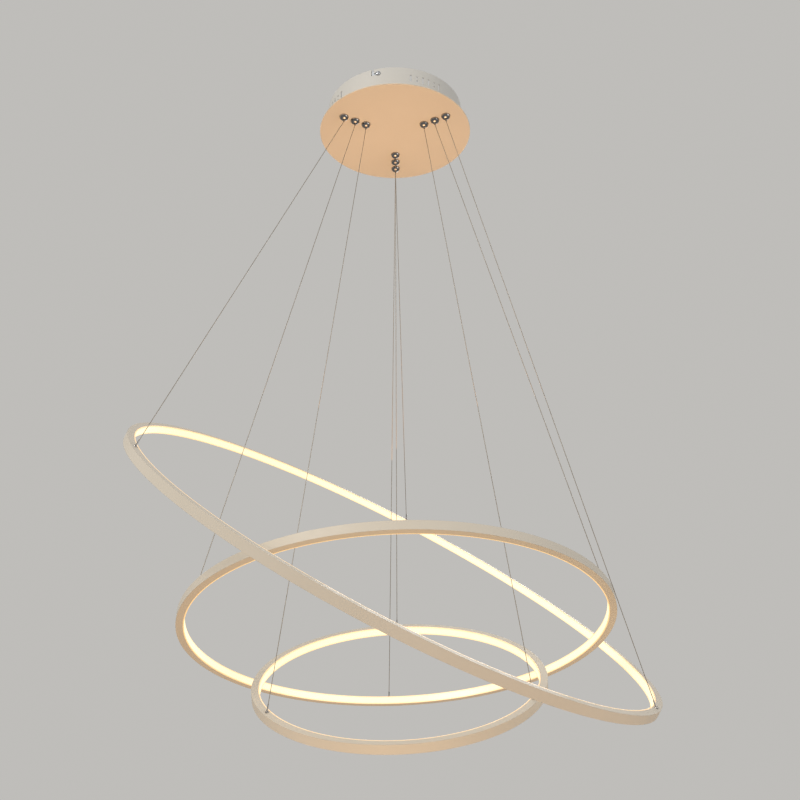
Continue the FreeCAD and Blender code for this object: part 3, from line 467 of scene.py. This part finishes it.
def stranded(name, colours):
    """Fine twisted steel under a thin clear sheath."""
    finish = Finish(name, Metallic=WIRE_METAL, Coat_Weight=SHEATH_WEIGHT,
                    Coat_Roughness=SHEATH_ROUGHNESS)
    finish.colour(finish.clouded(WIRE_CLOUD_SCALE, colours))
    finish.uneven(WIRE_GLOSS_SCALE, WIRE_ROUGHNESS)
    finish.bump(finish.noise(WIRE_GRAIN_SCALE, SOFT_DETAIL), WIRE_GRAIN, WIRE_STRENGTH)
    return finish.material


def zinc(name, colours):
    """Galvanised sheet: crystal patches of slightly different grey."""
    pale, shade = colours
    finish = Finish(name, Metallic=ZINC_METAL)
    patches = finish.nodes.new("ShaderNodeSeparateColor")
    finish.links.new(finish.cells(CRYSTAL_SCALE), patches.inputs["Color"])
    finish.colour(finish.blend(patches.outputs["Red"], shade, pale))
    finish.rough(finish.remap(patches.outputs["Green"], ZINC_ROUGHNESS, WHOLE))
    finish.bump(finish.noise(ZINC_GRAIN_SCALE), ZINC_GRAIN, ZINC_STRENGTH, ZINC_EDGE)
    return finish.material


def moulded(name, colours, roughness):
    """Moulded plastic with a fine eroded grain."""
    finish = Finish(name, Specular_IOR_Level=PLASTIC_SHINE)
    finish.colour(finish.clouded(PLASTIC_CLOUD_SCALE, colours))
    finish.uneven(PLASTIC_GLOSS_SCALE, roughness)
    finish.bump(finish.noise(PLASTIC_GRAIN_SCALE), PLASTIC_GRAIN, PLASTIC_STRENGTH,
                PLASTIC_EDGE)
    return finish.material


def circuit(name):
    """Green board with paler tracks, and dark parts standing above its face."""
    finish = Finish(name)
    tracks = finish.remap(finish.noise(TRACK_SCALE, TRACK_DETAIL), WHOLE, TRACK_SPAN)
    green = finish.blend(tracks, BOARD_COLOUR, TRACK_COLOUR)
    dark = finish.clouded(BOARD_PARTS_SCALE, BOARD_PARTS)
    above = finish.remap(finish.dot((0, 0, 1)), WHOLE, (BOARD_TOP, BOARD_TOP + BOARD_FADE))
    finish.colour(finish.blend(above, green, dark))
    finish.uneven(BOARD_GLOSS_SCALE, BOARD_ROUGHNESS)
    finish.bump(tracks, TRACK_DEPTH, TRACK_STRENGTH, BOARD_EDGE)
    return finish.material


def light_strip(name, ring):
    """White strip with a yellow light chip every few millimetres round its ring."""
    finish = Finish(name, Roughness=STRIP_ROUGHNESS)
    along, across, up = (finish.dot(axis, ring["centre"]) for axis in ring_turn(ring).col)
    chips = round(math.pi * ring["diameter"] / CHIP_PITCH)
    angle = finish.calculate("ARCTAN2", across, along)
    step = finish.calculate("FRACT", finish.calculate("MULTIPLY", angle, chips / math.tau))
    long_enough = finish.calculate("LESS_THAN", step, CHIP_SHARE)
    low_enough = finish.calculate("LESS_THAN", finish.calculate("ABSOLUTE", up),
                                  CHIP_HALF_HEIGHT)
    chip = finish.calculate("MULTIPLY", long_enough, low_enough)
    board = finish.clouded(STRIP_CLOUD_SCALE, STRIP_WHITE)
    finish.colour(finish.blend(chip, board, CHIP_COLOUR))
    finish.bump(chip, CHIP_DEPTH, CHIP_STRENGTH)
    return finish.material


def slot_finishes():
    """Finish of each slot that doesn't depend on where its node is."""
    finishes = {
        "white_steel": powder_coat("canopy_glow_tinted_paint", GLOW_TINTED_PAINT),
        "white_channel": powder_coat("ring_glow_tinted_paint", GLOW_TINTED_PAINT),
        "suspension_wire": stranded("suspension_wire", WIRE_STEEL),
        "zinc_bracket": zinc("zinc_bracket", BRACKET_ZINC),
        "circuit_board": circuit("circuit_board"),
    }
    for slot, look in PLATED.items():
        finishes[slot] = polished(slot, look["colours"], look["roughness"])
    for slot, look in MOULDED.items():
        finishes[slot] = moulded(slot, look["colours"], look["roughness"])
    return finishes


def dress_cad():
    """Gives every CAD node the finish of its slot, and the canopy's wall its paint without
    the painted warm glow.
    """
    finishes = slot_finishes()
    wall_paint = powder_coat("wall_paint", WALL_PAINT)
    slots = {row["node"]: row["material_slot"] for row in frame["record"]["subparts"]}
    for name, node in frame["nodes"].items():
        ring = RINGS.get(name.split("_")[0])
        if slots[name] == "light_strip":
            finish = light_strip(f"{name}_finish", ring)
        elif slots[name] == "opal_diffuser":
            finish = opal(f"{name}_finish", ring)
        # The canopy's wall takes its paint without the painted warm glow.
        elif name == "canopy_drum":
            finish = wall_paint
        else:
            finish = finishes[slots[name]]
        node.data.materials.clear()
        node.data.materials.append(finish)


# ---- suspension wires and springs ------------------------------------------------------


def dress_like(piece, node):
    """Gives a piece the finish of the CAD node that it replaces."""
    piece.data.materials.append(frame["nodes"][node].data.materials[0])


def spline_line(points):
    """Points of the smooth spline that a route's points steer."""
    data = bpy.data.curves.new("route", "CURVE")
    data.dimensions = "3D"
    spline = data.splines.new("NURBS")
    spline.points.add(len(points) - 1)
    for point, place in zip(spline.points, points):
        point.co = (*place, 1)
    spline.order_u = 3
    spline.use_endpoint_u = True
    curve = bpy.data.objects.new("route", data)
    mesh = bpy.data.meshes.new_from_object(curve)
    line = [vertex.co.copy() for vertex in mesh.vertices]
    bpy.data.objects.remove(curve)
    bpy.data.meshes.remove(mesh)
    bpy.data.curves.remove(data)
    return line


def evenly(line, step):
    """Points at equal steps along a line, its two ends among them, and its length."""
    lengths = [0.0]
    for first, second in zip(line, line[1:]):
        lengths.append(lengths[-1] + (second - first).length)
    count = round(lengths[-1] / step)
    points = []
    index = 0
    for number in range(count + 1):
        reach = lengths[-1] * number / count
        while index < len(line) - 2 and lengths[index + 1] < reach:
            index += 1
        share = (reach - lengths[index]) / (lengths[index + 1] - lengths[index])
        points.append(line[index].lerp(line[index + 1], min(1, share)))
    return points, lengths[-1]


def tube_through(name, sections):
    """Closed smooth tube through rings of points."""
    mesh = bmesh.new()
    rings = [[mesh.verts.new(point) for point in section] for section in sections]
    for lower, upper in zip(rings, rings[1:]):
        for corner in range(len(lower)):
            following = (corner + 1) % len(lower)
            mesh.faces.new((lower[corner], lower[following],
                            upper[following], upper[corner]))
    mesh.faces.new(reversed(rings[0]))
    mesh.faces.new(rings[-1])
    bmesh.ops.recalc_face_normals(mesh, faces=mesh.faces)
    data = bpy.data.meshes.new(name)
    mesh.to_mesh(data)
    mesh.free()
    for face in data.polygons:
        face.use_smooth = True
    tube = bpy.data.objects.new(name, data)
    bpy.context.scene.collection.objects.link(tube)
    return tube


def twisted_wire(name, points):
    """Tube round a line whose section has a lobe for each strand and turns as it goes."""
    direction = (points[-1] - points[0]).normalized()
    side = direction.cross(Vector((0, 0, 1))).normalized()
    other = direction.cross(side)
    sections = []
    for number, point in enumerate(points):
        twist = math.tau * number / SECTIONS_PER_LAY
        section = []
        for corner in range(2 * STRANDS):
            angle = twist + math.tau * corner / (2 * STRANDS)
            radius = WIRE_DIAMETER / 2 * (1 if corner % 2 == 0 else GROOVE)
            outward = math.cos(angle) * side + math.sin(angle) * other
            section.append(point + radius * outward)
        sections.append(section)
    return tube_through(name, sections)


def wound_wire(name, middle, low, high):
    """Round wire wound about the vertical line through middle, between two heights."""
    climb = (high - low) / (math.tau * SPRING_TURNS * SPRING_RADIUS)
    count = SPRING_TURNS * SECTIONS_PER_TURN
    sections = []
    for number in range(count + 1):
        angle = math.tau * number / SECTIONS_PER_TURN
        outward = Vector((math.cos(angle), math.sin(angle), 0))
        along = Vector((-math.sin(angle), math.cos(angle), climb)).normalized()
        upward = outward.cross(along)
        place = middle + SPRING_RADIUS * outward
        place.z = low + (high - low) * number / count
        section = []
        for corner in range(SPRING_CORNERS):
            turn = math.tau * corner / SPRING_CORNERS
            spoke = math.cos(turn) * outward + math.sin(turn) * upward
            section.append(place + SPRING_WIRE / 2 * spoke)
        sections.append(section)
    return tube_through(name, sections)


def wind_springs():
    """Plunger springs, each wound between the heights of the CAD spring that it replaces.
    """
    for ring_name, ring in RINGS.items():
        for side, row in SIDES.items():
            node = f"grip_spring_{ring_name}_{side}"
            middle = polar(ring["grip"], row, 0)
            low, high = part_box(node)
            low, high = low[2], high[2]
            spring = wound_wire(f"coil_{ring_name}_{side}", middle, low + SPRING_WIRE / 2,
                                high - SPRING_WIRE / 2)
            dress_like(spring, node)
            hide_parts(node)
            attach(spring, "canopy")
            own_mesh(spring)


def hang_wires():
    """Suspension wires, each from its grip's mouth to the top of its sleeve on its ring."""
    for ring_name, ring in RINGS.items():
        turn = ring_turn(ring)
        for (side, row), anchor in zip(SIDES.items(), ring["anchors"]):
            mouth = polar(ring["grip"], row, MOUTH_HEIGHT)
            seat = polar(ring["diameter"] / 2 - RING_WIDTH / 2, anchor, RING_HEIGHT / 2)
            seat = Vector(ring["centre"]) + turn @ seat
            end = seat + (mouth - seat).normalized() * SLEEVE_TOP
            route = [mouth.lerp(end, share) for share in ROUTE_SHARES]
            points, length = evenly(spline_line(route), LAY_LENGTH / SECTIONS_PER_LAY)
            wire = twisted_wire(f"strand_{ring_name}_{side}", points)
            dress_like(wire, f"wire_{ring_name}_{side}")
            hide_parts(f"wire_{ring_name}_{side}")
            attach(wire, "canopy")
            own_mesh(wire)


# ---- floor, background and lamps -------------------------------------------------------


def make_floor():
    """Plain pale floor, faintly clouded."""
    mesh = bmesh.new()
    bmesh.ops.create_grid(mesh, x_segments=FLOOR_CELLS, y_segments=FLOOR_CELLS,
                          size=FLOOR_HALF)
    data = bpy.data.meshes.new("floor")
    mesh.to_mesh(data)
    mesh.free()
    floor = bpy.data.objects.new("floor", data)
    floor.location = (0, 0, FLOOR_HEIGHT)
    bpy.context.scene.collection.objects.link(floor)
    finish = Finish("floor_finish", Roughness=FLOOR_ROUGHNESS,
                    Specular_IOR_Level=FLOOR_SHINE)
    finish.colour(finish.clouded(FLOOR_CLOUD_SCALE, (FLOOR_PALE, BACKGROUND)))
    floor.data.materials.append(finish.material)


def make_world():
    """Pale background for the camera and for reflections, softer light on the object."""
    world = bpy.data.worlds.new("world")
    world.use_nodes = True
    nodes, links = world.node_tree.nodes, world.node_tree.links
    nodes.clear()
    paths = nodes.new("ShaderNodeLightPath")
    seen = paths.outputs["Is Camera Ray"]
    for name in ("Is Glossy Ray", "Is Transmission Ray"):
        most = nodes.new("ShaderNodeMath")
        most.operation = "MAXIMUM"
        links.new(seen, most.inputs[0])
        links.new(paths.outputs[name], most.inputs[1])
        seen = most.outputs[0]
    mix = nodes.new("ShaderNodeMixShader")
    links.new(seen, mix.inputs[0])
    for index, colour, strength in ((1, COOL_WHITE, WORLD_LIGHT),
                                    (2, BACKGROUND, BACKGROUND_STRENGTH)):
        light = nodes.new("ShaderNodeBackground")
        light.inputs["Color"].default_value = (*colour, 1)
        light.inputs["Strength"].default_value = strength
        links.new(light.outputs[0], mix.inputs[index])
    out = nodes.new("ShaderNodeOutputWorld")
    links.new(mix.outputs[0], out.inputs["Surface"])
    bpy.context.scene.world = world


def add_lamp(name, place, aim, size, power, colour):
    """Soft round lamp that the camera doesn't see."""
    data = bpy.data.lights.new(name, "AREA")
    data.shape = "DISK"
    data.size = size
    data.energy = power
    data.color = colour
    light = bpy.data.objects.new(name, data)
    light.location = place
    direction = Vector(aim) - Vector(place)
    light.rotation_euler = direction.to_track_quat("-Z", "Y").to_euler()
    light.visible_camera = False
    bpy.context.scene.collection.objects.link(light)


make_camera()
dress_cad()
hang_wires()
wind_springs()
make_floor()
make_world()
for lamp_name, settings in LAMPS.items():
    add_lamp(lamp_name, **settings)
bpy.context.scene.view_settings.view_transform = "Standard"
